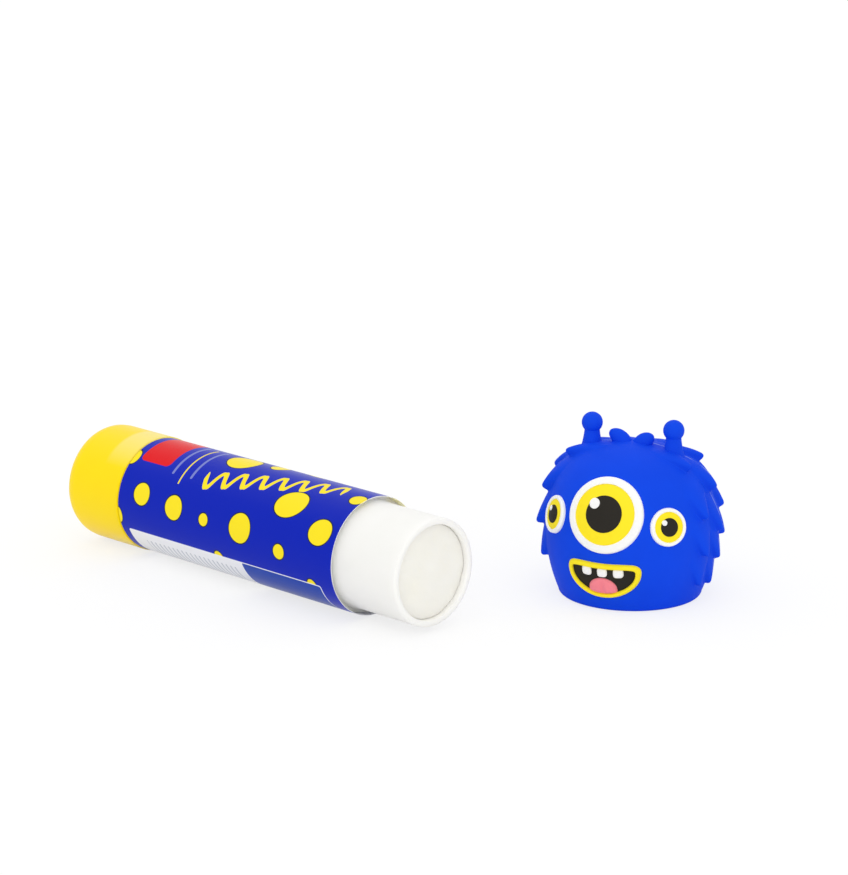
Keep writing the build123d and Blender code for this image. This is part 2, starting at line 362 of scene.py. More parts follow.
@dataclass(frozen=True)
class StickAxes:
    """Where the stick lies, in millimetres: its axis's y and z, and the sleeve's neck-side edge in x."""

    edge: float
    y: float
    z: float

    @classmethod
    def from_frame(cls) -> "StickAxes":
        """Reads the axis from the box of the sleeve."""
        low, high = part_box("label")
        return cls(high.x / MM, (low.y + high.y) / 2 / MM, (low.z + high.z) / 2 / MM)

    def revolve(self, along: np.ndarray, out: np.ndarray, angle: np.ndarray) -> np.ndarray:
        """Places (along the stick, out from its axis, angle from -Y over the top) in metres."""
        return np.stack([self.edge + along, self.y - out * np.cos(angle),
                         self.z + out * np.sin(angle)], axis=-1) * MM


def spun(axes: StickAxes, outline: np.ndarray, columns: int = 192,
         radius: Callable[[np.ndarray, np.ndarray, np.ndarray], np.ndarray] | None = None,
         closed: bool = True) -> Grid:
    """Turns an outline about the stick's axis: place = axis + out(along, angle) in direction angle.

    Args:
        axes: where the stick lies.
        outline: (along, out) points in millimetres.
        columns: how many steps go round.
        radius: changes the radius, from (along, out, angle).
        closed: whether the outline closes on itself; an open one starts and ends on the axis.

    Returns:
        The grid's places and its faces.
    """
    angle = np.linspace(0, 2 * np.pi, columns, endpoint=False)[None, :]
    along, out = outline[:, :1] + 0 * angle, outline[:, 1:] + 0 * angle
    if radius:
        out = radius(along, out, angle + 0 * out)
    return axes.revolve(along, out, angle), grid_faces(len(outline), columns, closed, True)


@dataclass
class Stick:
    """The barrel, its printed sleeve, the twist knob and the glue, with sizes in millimetres.

    Radii are given by the piece's or feature's own name, such as neck, sleeve or hub. Places along the
    stick are measured from the sleeve's neck-side edge.
    """

    axes: StickAxes
    palette: Palette
    neck: float = 9.9
    neck_length: float = 15.0
    neck_wall: float = 1.2
    rim_round: float = 0.5
    foot_rise: float = 0.35
    foot_length: float = 1.5
    sleeve: float = 11.0
    sleeve_length: float = 58.5
    film: float = 0.15
    body_wall: float = 1.1
    shoulder: float = -1.4
    floor: float = 1.5
    journal: float = 3.68
    spigot: float = 9.75
    spigot_wall: float = 1.2
    spigot_length: float = 6.0
    rib_width: float = 0.8
    lug_slot: float = 2.5
    lug_slot_radius: float = 9.02
    lug_slot_end: float = 4.5
    knob: float = 11.2
    knob_length: float = 16.0
    knob_gap: float = 0.2
    knob_wall: float = 1.3
    knob_round: float = 3.0
    hub: float = 5.5
    tail: float = 3.0
    tail_length: float = 7.0
    glue: float = 8.66
    glue_recess: float = 1.1
    glue_dome: float = 0.3
    glue_length: float = 68.0
    cup_bore: float = 7.65
    cup_depth: float = 9.5
    nut: float = 4.6
    nut_depth: float = 3.5
    channel: float = 3.6
    channel_end: float = 9.3

    @property
    def body_bore(self) -> float:
        """The barrel's bore in its body."""
        return self.sleeve - self.film - self.body_wall

    @property
    def neck_bore(self) -> float:
        """The barrel's bore in its neck."""
        return self.neck - self.neck_wall

    def bore(self, along: np.ndarray, out: np.ndarray, angle: np.ndarray) -> np.ndarray:
        """The barrel's inner radius: guide ribs stand in from the body's bore to the neck's, in pairs
        beside each lug's track, and the four tracks run on as slots into the neck.

        Args:
            along: places along the stick.
            out: the plain outline's radius there.
            angle: places round the stick.

        Returns:
            The radius at each place.
        """
        near, above_floor = 0.01, 0.3
        quarter = (angle + np.pi / 4) % (np.pi / 2) - np.pi / 4
        aside = np.abs(quarter) * out
        floor_top = -self.sleeve_length + self.floor
        in_body = (np.abs(out - self.body_bore) < near) & (along > floor_top + above_floor)
        rib = (aside > self.lug_slot / 2) & (aside < self.lug_slot / 2 + self.rib_width)
        in_neck = (np.abs(out - self.neck_bore) < near) & (along < self.lug_slot_end + near)
        slot = aside < self.lug_slot / 2
        in_slot = np.where(in_neck & slot, self.lug_slot_radius, out)
        return np.where(in_body & rib, self.neck_bore, in_slot)

    def build_barrel(self) -> Part:
        """The white tube: spigot, floor, body, shoulder, and the neck with its rounded rim.

        Doubled corners close together let the ribs and slots end in a short steep step.

        Returns:
            The piece.
        """
        start, body = -self.sleeve_length, self.sleeve - self.film
        body_bore, neck_bore = self.body_bore, self.neck_bore
        top = self.shoulder - self.neck_wall
        outline = soft_outline([
            (start - self.spigot_length, self.spigot - self.spigot_wall, 0.2),
            (start - self.spigot_length, self.spigot, 0.2),
            (start, self.spigot, 0.0), (start, body, 0.1),
            (self.shoulder, body, 0.25), (self.shoulder, self.neck + self.foot_rise, 0.5),
            (self.shoulder + self.foot_length, self.neck, 0.9),
            (self.neck_length, self.neck, self.rim_round),
            (self.neck_length, neck_bore, self.rim_round), (self.lug_slot_end + 0.1, neck_bore, 0.0),
            (self.lug_slot_end, neck_bore, 0.0), (top + 0.05, neck_bore, 0.0), (top, neck_bore, 0.0),
            (top, body_bore, 0.0), (start + self.floor + 0.4, body_bore, 0.0),
            (start + self.floor, body_bore, 0.0), (start + self.floor, self.journal, 0.1),
            (start, self.journal, 0.1), (start, self.spigot - self.spigot_wall, 0.0)])
        points, faces = spun(self.axes, outline, 288, self.bore)
        return Part("barrel_white", points, faces, "stick", "white_pp", ("barrel",),
                    self.palette.of(Moulded.WHITE_PP))

    def build_knob(self) -> Part:
        """The yellow cup: a closed rounded end, a wall, and a hub with a six-sided hole.

        Returns:
            The piece.
        """
        end = -self.sleeve_length - self.knob_gap - self.knob_length
        mouth, hub_top = end + self.knob_length, end + self.knob_length + 0.05
        inside = self.knob - self.knob_wall
        outline = soft_outline([
            (end, 0.0, 0.0), (end, self.knob, self.knob_round), (mouth, self.knob, 0.3),
            (mouth, inside, 0.3), (end + self.knob_wall, inside, 2.0),
            (end + self.knob_wall, self.hub, 0.3), (hub_top, self.hub, 0.2), (hub_top, self.tail, 0.0),
            (hub_top - self.tail_length, self.tail, 0.0), (hub_top - self.tail_length, 0.0, 0.0)],
            closed=False)

        def six_sided(along: np.ndarray, out: np.ndarray, angle: np.ndarray) -> np.ndarray:
            """A hexagon's radius: its flat's distance over the cosine of the angle from the flat.

            Args:
                along: places along the stick.
                out: the plain outline's radius there.
                angle: places round the stick.

            Returns:
                The radius at each place.
            """
            from_flat = (angle % (np.pi / 3)) - np.pi / 6
            flat = self.tail * math.cos(math.pi / 6)
            return np.where(np.abs(out - self.tail) < 0.01, flat / np.cos(from_flat), out)

        points, faces = spun(self.axes, outline, 192, six_sided, closed=False)
        # the yellow plastic carries a painted highlight on its upper and lower edges
        return Part("twist_knob_yellow", points, faces, "knob", "yellow_pp", ("twist_knob",),
                    Moulded.YELLOW_PP.value.material(self.painted_knob_highlight))

    def painted_knob_highlight(self, tree: bpy.types.NodeTree, colour: bpy.types.NodeSocket) -> bpy.types.NodeSocket:
        """A painted highlight: a paler band painted on the knob where the wall turns away above and below, kept
        to the length over which the white spigot sits inside.

        Args:
            tree: the knob's node tree.
            colour: the plain colour's socket.

        Returns:
            The colour with the paler band over it.
        """
        # through is the pale colour painted as a highlight on the knob's upper and lower edges
        blur, turning, most, through = 0.4 * MM, 0.6, 0.55, linear("F6EBA0")
        place = add(tree, "ShaderNodeSeparateXYZ",
                    {"Vector": add(tree, "ShaderNodeTexCoord").outputs["Object"]})
        start = (self.axes.edge - self.sleeve_length - self.spigot_length) * MM
        band = add(tree, "ShaderNodeMapRange", {"Value": place.outputs["X"], "From Min": start - blur,
                                                "From Max": start + blur})
        off = add(tree, "ShaderNodeMath", {0: place.outputs["Z"], 1: self.axes.z * MM}, operation="SUBTRACT")
        apart = add(tree, "ShaderNodeMath", {0: off.outputs[0]}, operation="ABSOLUTE")
        edge = add(tree, "ShaderNodeMapRange",
                   {"Value": apart.outputs[0], "From Min": turning * self.knob * MM,
                    "From Max": self.knob * MM, "To Max": most})
        share = add(tree, "ShaderNodeMath", {0: band.outputs[0], 1: edge.outputs[0]}, operation="MULTIPLY")
        return add(tree, "ShaderNodeMix", {0: share.outputs[0], 6: colour, 7: through},
                   data_type="RGBA").outputs[2]

    def build_glue(self) -> Part:
        """The cast glue: a slightly domed, slightly wavy face, and a channel for the rod behind it.

        The dome falls with the square of the distance from the axis, and the wave is a sum of two sines.

        Returns:
            The piece.
        """
        face = self.neck_length - self.glue_recess
        back = face - self.glue_length
        seat = back + self.cup_depth
        steps = np.linspace(0, 1, 24)[:, None]
        domed = self.glue - 0.9
        dome = np.hstack([face + self.glue_dome * (1 - steps ** 2), steps * domed])
        rest = soft_outline([
            (face, domed, 0.0), (face, self.glue, 0.25), (seat, self.glue, 0.1),
            (seat, self.cup_bore, 0.0), (back, self.cup_bore, 0.0), (back, self.nut, 0.0),
            (back + self.nut_depth, self.nut, 0.0), (back + self.nut_depth, self.channel, 0.0),
            (self.channel_end, self.channel, 0.1), (self.channel_end, 0.0, 0.0)], closed=False)
        outline = np.vstack([dome[:-1], rest])
        points, faces = spun(self.axes, outline, 160, closed=False)
        across, up = points[..., 1] / MM - self.axes.y, points[..., 2] / MM - self.axes.z
        wave = 0.07 * np.sin(0.9 * across + 0.6) * np.cos(0.7 * up - 0.4) + 0.04 * np.sin(1.7 * up + across)
        edge_depth, mean_sink = 0.35, 0.05
        on_face = points[..., 0] / MM - self.axes.edge > face - edge_depth
        points[..., 0] += np.where(on_face, wave - mean_sink, 0) * MM
        return Part("glue_cast", points, faces, "glue_carrier", "glue", ("glue_stick",),
                    self.palette.of(Moulded.GLUE))

    def build_sleeve(self) -> bpy.types.Object:
        """The printed film: a thin tube, with a flat map of (along, round) in millimetres for its ink.

        Returns:
            The new object.
        """
        inner, outer = self.sleeve - self.film, self.sleeve
        along = np.linspace(-self.sleeve_length, 0, 40)
        outline = np.vstack([np.column_stack([along, 0 * along + outer]),
                             np.column_stack([along[::-1], 0 * along + inner])])
        points, faces = spun(self.axes, outline)
        piece = Part("sleeve_printed", points, faces, "stick", "label_film", ("label",),
                     PrintedFilm(sleeve=self.sleeve).material()).build()
        piece.data.materials.append(PrintedFilm.inner_side(self.sleeve).material())
        self.map_flat(piece)
        return piece

    def map_flat(self, piece: bpy.types.Object) -> None:
        """Gives the sleeve its flat map: u along the stick, v round it from the -Y side, in millimetres.
        The seam's corners get the value of their own side, and faces on the inner wall get the back.

        Args:
            piece: the sleeve.
        """
        mesh = piece.data
        places = np.empty(len(mesh.vertices) * 3)
        mesh.vertices.foreach_get("co", places)
        places = places.reshape(-1, 3) / MM
        corners = np.empty(len(mesh.loops), dtype=np.int32)
        mesh.loops.foreach_get("vertex_index", corners)
        centres = np.empty(len(mesh.polygons) * 3)
        mesh.polygons.foreach_get("center", centres)
        centres = centres.reshape(-1, 3) / MM
        sizes = np.empty(len(mesh.polygons), dtype=np.int32)
        mesh.polygons.foreach_get("loop_total", sizes)

        def turn(where: np.ndarray) -> np.ndarray:
            """Angle from -Y over the top, in turns from -0.25 to 0.75, with the seam underneath."""
            angle = np.arctan2(where[:, 2] - self.axes.z, self.axes.y - where[:, 1])
            return (angle / (2 * np.pi) + 0.25) % 1 - 0.25

        own, middle = turn(places)[corners], np.repeat(turn(centres), sizes)
        own = own + np.round(middle - own)
        flat = np.column_stack([places[corners, 0] - self.axes.edge, own * 2 * np.pi * self.sleeve])
        layer = mesh.uv_layers.new(name="flat_mm")
        layer.data.foreach_set("uv", flat.astype(np.float32).ravel())
        out = np.hypot(centres[:, 1] - self.axes.y, centres[:, 2] - self.axes.z)
        inside = (out < self.sleeve - self.film / 2).astype(np.int32)
        mesh.polygons.foreach_set("material_index", inside)
        mesh.update()

    def dress_hidden(self) -> None:
        """The rod and the carrier keep their CAD shape and get the moulded plastic."""
        for node in ("screw_rod", "carrier"):
            dress_node(node, self.palette.of(Moulded.WHITE_PP))


# ---------------------------------------------------------------- the sleeve's ink


@dataclass(frozen=True)
class Oval:
    """A yellow oval on the flat sleeve: its middle, its two widths and its tilt, in millimetres and
    degrees."""

    along: float
    around: float
    length: float
    height: float
    tilt: float = 0.0


class Ink:
    """Paints flat shapes over one another on the sleeve's flat map, each from its signed distance."""

    def __init__(self, tree: bpy.types.NodeTree, ground: str) -> None:
        """Starts from a plain ground.

        Args:
            tree: the node tree that takes the nodes.
            ground: the ground's sRGB colour.
        """
        self.tree = tree
        self.place = add(tree, "ShaderNodeUVMap", uv_map="flat_mm").outputs["UV"]
        self.colour = linear(ground)

    def oval(self, oval: Oval) -> bpy.types.NodeSocket:
        """Distance outside an oval: its scaled distance from the middle, less one, times its radius.

        Args:
            oval: the oval.

        Returns:
            The distance in millimetres, below nought inside.
        """
        radii = oval.length / 2, oval.height / 2
        local = add(self.tree, "ShaderNodeMapping", {
            "Vector": self.place, "Location": (oval.along, oval.around, 0),
            "Rotation": (0, 0, math.radians(oval.tilt)), "Scale": (*radii, 1)}, vector_type="TEXTURE")
        reach = add(self.tree, "ShaderNodeVectorMath", {0: local.outputs["Vector"]}, operation="LENGTH")
        scale = sum(radii) / 2
        return add(self.tree, "ShaderNodeMath", {0: reach.outputs["Value"], 1: scale, 2: -scale},
                   operation="MULTIPLY_ADD").outputs[0]

    def block(self, low: tuple[float, float], high: tuple[float, float],
              corner: float) -> bpy.types.NodeSocket:
        """Distance outside a block with rounded corners: the length of what passes its inner corners.

        Args:
            low: its lower corner.
            high: its upper corner.
            corner: the radius of its corners.

        Returns:
            The distance in millimetres, below nought inside.
        """
        middle = [(a + b) / 2 for a, b in zip(low, high)]
        inner = [(b - a) / 2 - corner for a, b in zip(low, high)]
        away = add(self.tree, "ShaderNodeVectorMath", {0: self.place, 1: (*middle, 0)},
                   operation="SUBTRACT")
        size = add(self.tree, "ShaderNodeVectorMath", {0: away.outputs[0]}, operation="ABSOLUTE")
        past = add(self.tree, "ShaderNodeVectorMath", {0: size.outputs[0], 1: (*inner, 0)},
                   operation="SUBTRACT")
        outside = add(self.tree, "ShaderNodeVectorMath", {0: past.outputs[0], 1: (0, 0, 0)},
                      operation="MAXIMUM")
        reach = add(self.tree, "ShaderNodeVectorMath", {0: outside.outputs[0]}, operation="LENGTH")
        return add(self.tree, "ShaderNodeMath", {0: reach.outputs["Value"], 1: corner},
                   operation="SUBTRACT").outputs[0]

    def nearest(self, shapes: Sequence[bpy.types.NodeSocket]) -> bpy.types.NodeSocket:
        """The smallest of several distances.

        Args:
            shapes: the distances.

        Returns:
            The smallest.
        """
        least = shapes[0]
        for shape in shapes[1:]:
            least = add(self.tree, "ShaderNodeMath", {0: least, 1: shape}, operation="MINIMUM").outputs[0]
        return least

    def within(self, shape: bpy.types.NodeSocket, fence: bpy.types.NodeSocket) -> bpy.types.NodeSocket:
        """The larger of two distances: what lies in both shapes."""
        return add(self.tree, "ShaderNodeMath", {0: shape, 1: fence}, operation="MAXIMUM").outputs[0]

    def paint(self, colour: str, shape: bpy.types.NodeSocket, grow: float = 0.0,
              cover: float = 1.0) -> None:
        """Lays a colour where the distance is under `grow`, with an edge as soft as printed ink's.

        Args:
            colour: the ink's sRGB colour.
            shape: the distance outside the shape.
            grow: how far the ink goes past the shape.
            cover: how much of what lies beneath it hides.
        """
        soft = 0.03
        mask = add(self.tree, "ShaderNodeMapRange", {
            "Value": shape, "From Min": grow - soft, "From Max": grow + soft,
            "To Min": cover, "To Max": 0.0})
        self.colour = add(self.tree, "ShaderNodeMix",
                          {0: mask.outputs["Result"], 6: self.colour, 7: linear(colour)},
                          data_type="RGBA").outputs[2]


@dataclass(frozen=True)
class PrintedFilm:
    """Printed shrink film: polypropylene with flat inks under a clear gloss that catches soft streaks.

    Places are (along, round) in millimetres: along from the neck-side edge, round from the -Y side.

    Attributes:
        back: whether this is the unprinted inner side, through which the ink shows faintly.
        sleeve: the sleeve's radius.
        ground: the blue ground.
        yellow: the ovals', the flourish's and the stripe's colour.
        outline: the dark line round each oval.
        outline_width: how far that line goes past its oval.
        white: the panel's colour.
        rule: the panel's rules.
        pale: the plain rules beside the badge.
        field: the mid-blue end of the panel.
        red: the badge.
        ovals: the yellow ovals.
        badge: the plain badge.
        stripe: the thin yellow stripe beside it.
        pale_rules: where the plain rules stand along the stick.
        panel_low: where the panel starts along the stick.
        panel_split: where the mid-blue field starts.
        panel_high: where the panel ends.
        panel_top: its edge on the near side.
        panel_bottom: its edge on the far side.
        border: the white border round the mid-blue field.
        rule_gap: spacing of the panel's rules.
        rule_width: width of one rule.
    """

    back: bool = False
    sleeve: float = 11.0
    ground: str = "0321B4"
    yellow: str = "FBE424"
    outline: str = "16222E"
    outline_width: float = 0.22
    white: str = "F1F2F5"
    rule: str = "B4B9C4"
    pale: str = "8E97D2"
    field: str = "1F45AC"
    red: str = "E0101A"
    ovals: tuple[Oval, ...] = (
        Oval(-52.1, 3.4, 4.3, 4.3), Oval(-42.8, 2.6, 4.6, 4.7), Oval(-34.3, 2.0, 2.4, 2.4),
        Oval(-24.4, 2.4, 5.6, 5.6), Oval(-14.2, 9.5, 7.4, 5.7, 18), Oval(-4.3, 5.8, 5.5, 4.9, 18),
        Oval(-13.7, 0.2, 2.8, 2.8), Oval(-34.4, 17.3, 7.2, 6.4), Oval(-26.8, 19.4, 3.4, 4.0),
        Oval(-1.5, 14.6, 3.4, 3.0), Oval(-0.8, 24.4, 3.6, 5.0), Oval(-58.4, 10.2, 2.6, 3.4),
        Oval(-58.9, -1.9, 2.6, 3.4),
        Oval(-30.9, -4.6, 2.2, 2.2), Oval(-5.9, -4.6, 2.2, 2.2), Oval(-44.5, 24.6, 5.2, 4.8),
        Oval(-53.4, 29.6, 4.0, 4.2), Oval(-37.6, 30.6, 2.6, 2.6), Oval(-18.6, 22.6, 5.0, 4.4, 20),
        Oval(-28.0, 28.4, 5.8, 5.4), Oval(-9.2, 24.4, 2.6, 2.6), Oval(-5.2, 31.0, 4.6, 4.4),
        Oval(-15.4, 31.6, 3.2, 3.2), Oval(-46.4, 36.4, 5.6, 5.2, -15), Oval(-33.4, 38.4, 3.4, 3.4),
        Oval(-22.0, 37.6, 5.0, 5.2), Oval(-10.4, 39.4, 5.4, 5.0, 20), Oval(-54.0, 42.0, 2.6, 2.6),
    )
    badge: Block = ((-56.6, 9.9), (-48.3, 22.4), 1.2)
    stripe: Block = ((-43.75, 7.2), (-43.4, 19.0), 0.1)
    pale_rules: tuple[float, ...] = (-46.3, -41.2)
    panel_low: float = -56.5
    panel_split: float = -24.7
    panel_high: float = -3.6
    panel_top: float = -4.4
    panel_bottom: float = 45.0
    border: float = 0.22
    rule_gap: float = 1.25
    rule_width: float = 0.42

    @classmethod
    def inner_side(cls, sleeve: float) -> "PrintedFilm":
        """The white inner side, through which the inks show faintly."""
        return cls(back=True, sleeve=sleeve, ground="ECEEF0", yellow="F3E9B4",
                   outline="D6D8CE", red="F0D4D2", field="DDE2EC", pale="E4E6F0")

    def ink(self, tree: bpy.types.NodeTree) -> bpy.types.NodeSocket:
        """Lays down the ovals, a wavy flourish, a plain badge, and the blank panels.

        The panel crosses the seam underneath, so each of its two halves runs past the seam.

        Args:
            tree: the film's node tree.

        Returns:
            The finished colour.
        """
        ink = Ink(tree, self.ground)
        ovals = ink.nearest([ink.oval(oval) for oval in self.ovals])
        ink.paint(self.outline, ovals, self.outline_width)
        ink.paint(self.yellow, ovals)
        ink.paint(self.yellow, self.flourish(ink))
        ink.paint(self.yellow, ink.block(*self.stripe))
        ink.paint(self.red, ink.block(*self.badge))
        half, low, high = 0.3, 8.8, 19.4
        for along in self.pale_rules:
            ink.paint(self.pale, ink.block((along - half, low), (along + half, high), 0.28), cover=0.7)
        seam_low, seam_high = -math.pi / 2 * self.sleeve - 1, 1.5 * math.pi * self.sleeve + 1
        start_margin, end_margin, low_margin, high_margin = 4, 2, 1.5, 1.8
        for bottom, top in ((seam_low, self.panel_top), (self.panel_bottom, seam_high)):
            ink.paint(self.white, ink.block((self.panel_low, bottom), (self.panel_high, top), 0.5))
            lower = bottom if bottom == seam_low else bottom + self.border
            upper = top if top == seam_high else top - self.border
            ink.paint(self.field, ink.block((self.panel_split, lower),
                                            (self.panel_high - self.border, upper), 0.4))
            ruled_low = lower if lower == seam_low else lower + low_margin
            ruled_high = upper if upper == seam_high else upper - high_margin
            ruled = ink.block((self.panel_low + start_margin, ruled_low),
                              (self.panel_split - end_margin, ruled_high), 0.2)
            ink.paint(self.rule, ink.within(self.ruling(ink), ruled), cover=0.75)
        return ink.colour

    def flourish(self, ink: Ink) -> bpy.types.NodeSocket:
        """A wavy line: its distance is the height above a tilted sine wave, flattened by the wave's slope.

        Args:
            ink: the film's ink.

        Returns:
            The distance outside the line.
        """
        start, end, bottom, top = -38.0, -6.0, 0, 25
        low, rise, swing, wave, half = 9.3, 0.23, 1.6, 4.4, 0.5
        flat = add(ink.tree, "ShaderNodeSeparateXYZ", {"Vector": ink.place})
        phase = add(ink.tree, "ShaderNodeMath",
                    {0: flat.outputs["X"], 1: 2 * math.pi / wave}, operation="MULTIPLY")
        sway = add(ink.tree, "ShaderNodeMath", {0: phase.outputs[0]}, operation="SINE")
        climb = add(ink.tree, "ShaderNodeMath", {0: flat.outputs["X"], 1: rise, 2: low - start * rise},
                    operation="MULTIPLY_ADD")
        line = add(ink.tree, "ShaderNodeMath", {0: sway.outputs[0], 1: swing, 2: climb.outputs[0]},
                   operation="MULTIPLY_ADD")
        above = add(ink.tree, "ShaderNodeMath", {0: flat.outputs["Y"], 1: line.outputs[0]},
                    operation="SUBTRACT")
        apart = add(ink.tree, "ShaderNodeMath", {0: above.outputs[0]}, operation="ABSOLUTE")
        slope = add(ink.tree, "ShaderNodeMath", {0: phase.outputs[0]}, operation="COSINE")
        steep = add(ink.tree, "ShaderNodeMath",
                    {0: slope.outputs[0], 1: slope.outputs[0]}, operation="MULTIPLY")
        spread = add(ink.tree, "ShaderNodeMath",
                     {0: steep.outputs[0], 1: (2 * math.pi / wave * swing) ** 2, 2: 1.0},
                     operation="MULTIPLY_ADD")
        root = add(ink.tree, "ShaderNodeMath", {0: spread.outputs[0]}, operation="SQRT")
        true = add(ink.tree, "ShaderNodeMath", {0: apart.outputs[0], 1: root.outputs[0]},
                   operation="DIVIDE")
        stroke = add(ink.tree, "ShaderNodeMath", {0: true.outputs[0], 1: half}, operation="SUBTRACT")
        return ink.within(stroke.outputs[0], ink.block((start, bottom), (end, top), 0.2))

    def ruling(self, ink: Ink) -> bpy.types.NodeSocket:
        """Evenly spaced plain rules across the stick: distance from the nearest multiple of their gap.

        Args:
            ink: the film's ink.

        Returns:
            The distance outside the rules.
        """
        flat = add(ink.tree, "ShaderNodeSeparateXYZ", {"Vector": ink.place})
        back = add(ink.tree, "ShaderNodeMath", {0: flat.outputs["X"], 1: self.rule_gap / 2},
                   operation="PINGPONG")
        return add(ink.tree, "ShaderNodeMath", {0: back.outputs[0], 1: self.rule_width / 2},
                   operation="SUBTRACT").outputs[0]

    def material(self) -> bpy.types.Material:
        """Builds the film: flat ink under a clear coat, faintly rippled along the stick.

        Returns:
            The new material.
        """
        material, tree, out = new_tree("polypropylene_film_printed" + ("_back" if self.back else ""))
        colour = self.ink(tree)
        place = add(tree, "ShaderNodeTexCoord").outputs["Object"]
        stretch, ripple, depth = 0.25, 5 * MM, 0.05 * MM
        drawn = add(tree, "ShaderNodeMapping", {"Vector": place, "Scale": (stretch, 1, 1)})
        waves = add(tree, "ShaderNodeTexNoise",
                    {"Vector": drawn.outputs["Vector"], "Scale": 1 / ripple, "Detail": 2.0})
        bump = add(tree, "ShaderNodeBump",
                   {"Height": waves.outputs["Fac"], "Distance": depth, "Strength": 1.0})
        shader = add(tree, "ShaderNodeBsdfPrincipled", {
            "Base Color": colour, "Roughness": 0.3, "IOR": 1.49, "Specular IOR Level": 0.05,
            "Subsurface Weight": 0.9 if self.back else 0.0, "Subsurface Scale": 0.6 * MM,
            "Subsurface Radius": (1.0, 1.0, 1.0),
            "Coat Weight": 0.08, "Coat Roughness": 0.12, "Normal": bump.outputs["Normal"]})
        tree.links.new(shader.outputs["BSDF"], out.inputs["Surface"])
        return material


# ---------------------------------------------------------------- the monster head


def joined(grids: Sequence[Grid]) -> Grid:
    """Several grids as one set of places and faces.

    Args:
        grids: the grids.

    Returns:
        All their places and faces, renumbered.
    """
    points = [grid[0].reshape(-1, 3) for grid in grids]
    starts = np.cumsum([0] + [len(part) for part in points[:-1]])
    return np.vstack(points), np.vstack([grid[1] + start for grid, start in zip(grids, starts)])


def smooth_step(value: np.ndarray) -> np.ndarray:
    """Eases from 0 to 1 as the value goes from 0 to 1."""
    held = np.clip(value, 0, 1)
    return held * held * (3 - 2 * held)


@dataclass(frozen=True)
class Spot:
    """A flat drawing plane that touches the head's skin, in the head's own axes and millimetres."""

    origin: np.ndarray
    right: np.ndarray
    up: np.ndarray
    normal: np.ndarray


